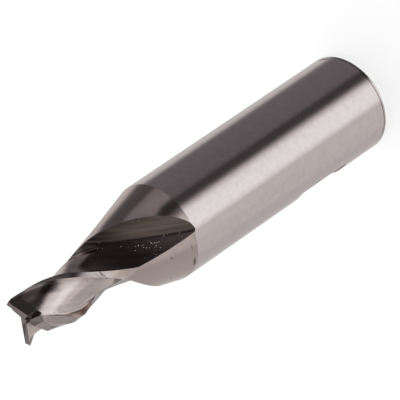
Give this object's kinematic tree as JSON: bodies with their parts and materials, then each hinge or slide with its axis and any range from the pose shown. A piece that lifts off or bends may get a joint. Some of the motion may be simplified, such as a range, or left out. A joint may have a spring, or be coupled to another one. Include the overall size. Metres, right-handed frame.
{
  "type": "end mill",
  "caption": "Short helical end mill with a straight cutter, a neck cone where the flutes run out, and a plain shank with a clamping flat.",
  "frame": {"origin": "centre of the shank's end face, on which the tool stands", "axes": "+Z along the tool's axis towards the cutting end, +X square out of the clamping flat"},
  "size_m": [0.006, 0.006, 0.029],
  "materials": {
    "ground_steel": "ground high speed steel, satin on the shank, with dark scale in the flutes"
  },
  "bodies": {
    "root": {"end_mill": "ground_steel"}
  },
  "joints": []
}
